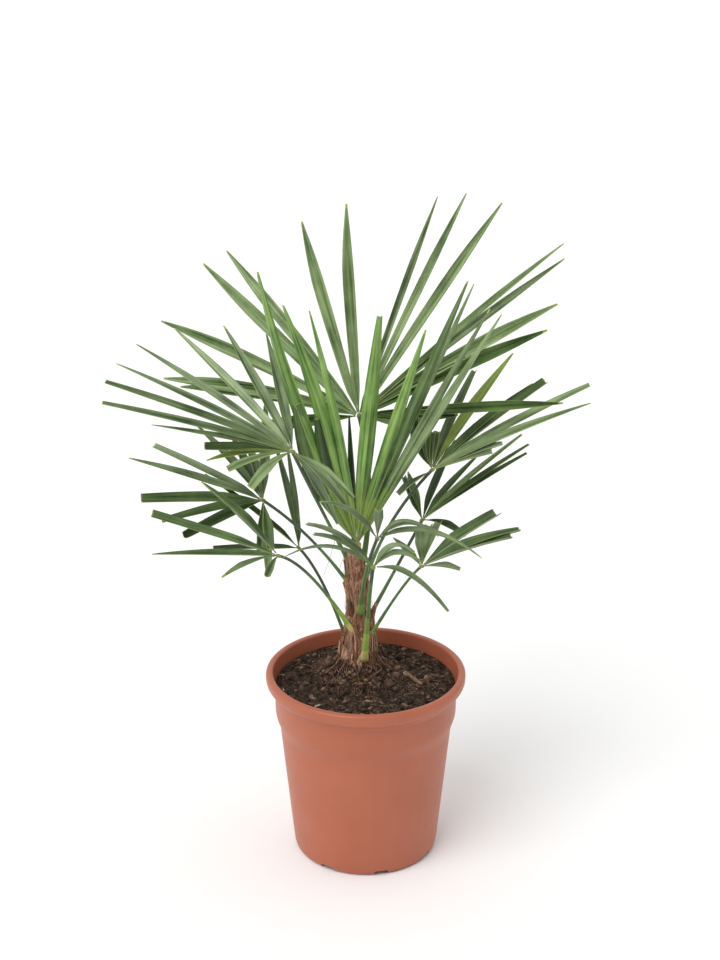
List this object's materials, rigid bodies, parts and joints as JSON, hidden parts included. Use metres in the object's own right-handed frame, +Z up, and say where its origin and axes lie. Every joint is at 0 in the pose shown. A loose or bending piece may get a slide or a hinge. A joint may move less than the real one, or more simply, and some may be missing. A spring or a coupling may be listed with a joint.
{
  "type": "potted windmill palm",
  "caption": "Young fan palm in a round tapered nursery pot: a short fibrous trunk, slim leaf stalks, and stiff fans of narrow folded leaflets.",
  "frame": {"origin": "centre of the pot's flat underside", "axes": "+Z up along the pot's axis; -Y towards the viewer of the picture, +X to that viewer's right"},
  "size_m": [0.4869, 0.3483, 0.6913],
  "materials": {
    "pot_plastic": "matte terracotta-coloured moulded polypropylene",
    "compost": "moist dark potting compost with fibres and bark chips",
    "trunk_fibre": "matted reddish-brown sheath fibre",
    "stalk": "smooth dark green leaf stalk, paler at its base",
    "leaf": "mid-green folded leaflet with a faint wax bloom and fine lengthwise veins",
    "young_leaf": "pale glaucous young leaflet, yellow-green at its base"
  },
  "bodies": {
    "root": {"pot": "pot_plastic", "soil": "compost", "trunk": "trunk_fibre", "stub_1": "trunk_fibre", "stub_2": "trunk_fibre", "stub_3": "trunk_fibre", "stub_4": "trunk_fibre", "spear": "young_leaf", "stalk_top": "stalk", "fan_top": "leaf", "stalk_young": "stalk", "fan_young": "young_leaf", "stalk_left_high": "stalk", "fan_left_high": "leaf", "stalk_left_middle": "stalk", "fan_left_middle": "leaf", "stalk_left_front": "stalk", "fan_left_front": "leaf", "stalk_left_back": "stalk", "fan_left_back": "leaf", "stalk_right_high": "stalk", "fan_right_high": "leaf", "stalk_right_back": "stalk", "fan_right_back": "leaf", "stalk_right_front": "stalk", "fan_right_front": "leaf", "stalk_front_upper": "stalk", "fan_front_upper": "leaf", "stalk_front_lower": "stalk", "fan_front_lower": "leaf"}
  },
  "joints": []
}
